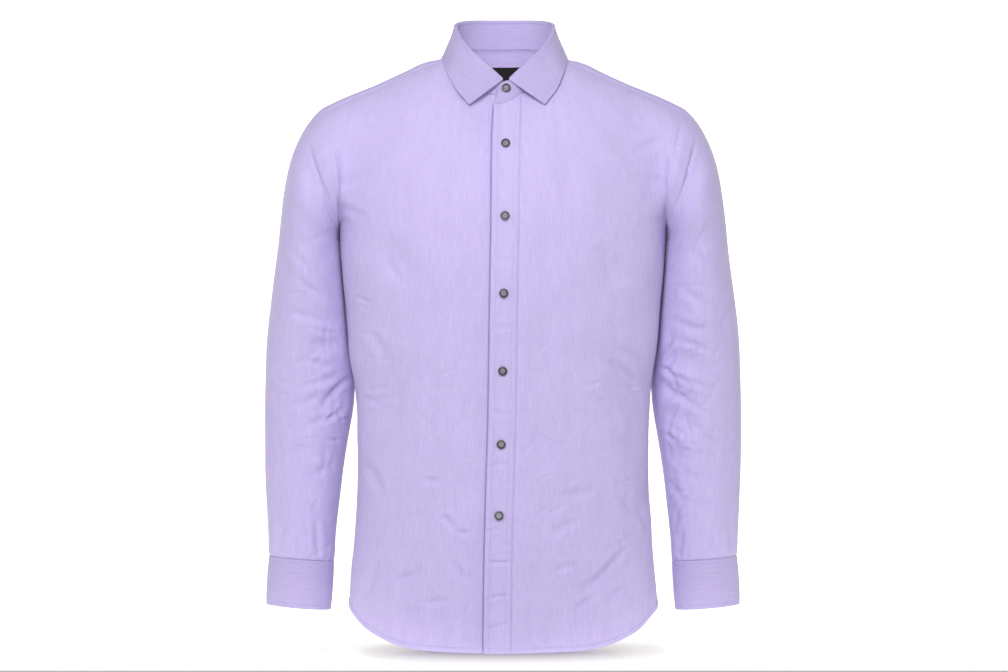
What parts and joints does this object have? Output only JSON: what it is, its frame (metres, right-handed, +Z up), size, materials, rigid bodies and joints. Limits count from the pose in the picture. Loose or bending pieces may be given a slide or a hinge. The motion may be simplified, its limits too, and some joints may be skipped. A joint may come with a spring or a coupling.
{
  "type": "long sleeve dress shirt",
  "caption": "Buttoned long sleeve dress shirt, filled out as when worn, with a turned-down collar, front placket, yoke, buttoned cuffs and a curved shirt-tail hem.",
  "frame": {"origin": "on the shirt's middle line, level with the points where the collar meets the shoulders, where the wearer's neck and shoulders hold it up", "axes": "+Z up towards the collar, -Y out of the buttoned front, +X towards the wearer's left sleeve"},
  "size_m": [0.6136, 0.2423, 0.8145],
  "materials": {
    "shirt_cloth": "lavender yarn-dyed cotton shirting, plain woven and matt",
    "band_cloth": "the same shirting, doubled over an interlining",
    "button_plastic": "smoke-grey polyester resin, polished",
    "label_cloth": "black woven label, bare"
  },
  "bodies": {
    "root": {"front_left": "shirt_cloth", "front_right": "shirt_cloth", "back": "shirt_cloth", "yoke": "shirt_cloth", "sleeve_left": "shirt_cloth", "sleeve_right": "shirt_cloth", "front_placket": "shirt_cloth", "sleeve_placket_left": "shirt_cloth", "sleeve_placket_right": "shirt_cloth", "collar_stand": "band_cloth", "collar_leaf": "band_cloth", "cuff_left": "band_cloth", "cuff_right": "band_cloth", "neck_label": "label_cloth", "button_collar": "button_plastic", "button_front_1": "button_plastic", "button_front_2": "button_plastic", "button_front_3": "button_plastic", "button_front_4": "button_plastic", "button_front_5": "button_plastic", "button_front_6": "button_plastic", "cuff_button_left": "button_plastic", "cuff_button_right": "button_plastic"}
  },
  "joints": []
}
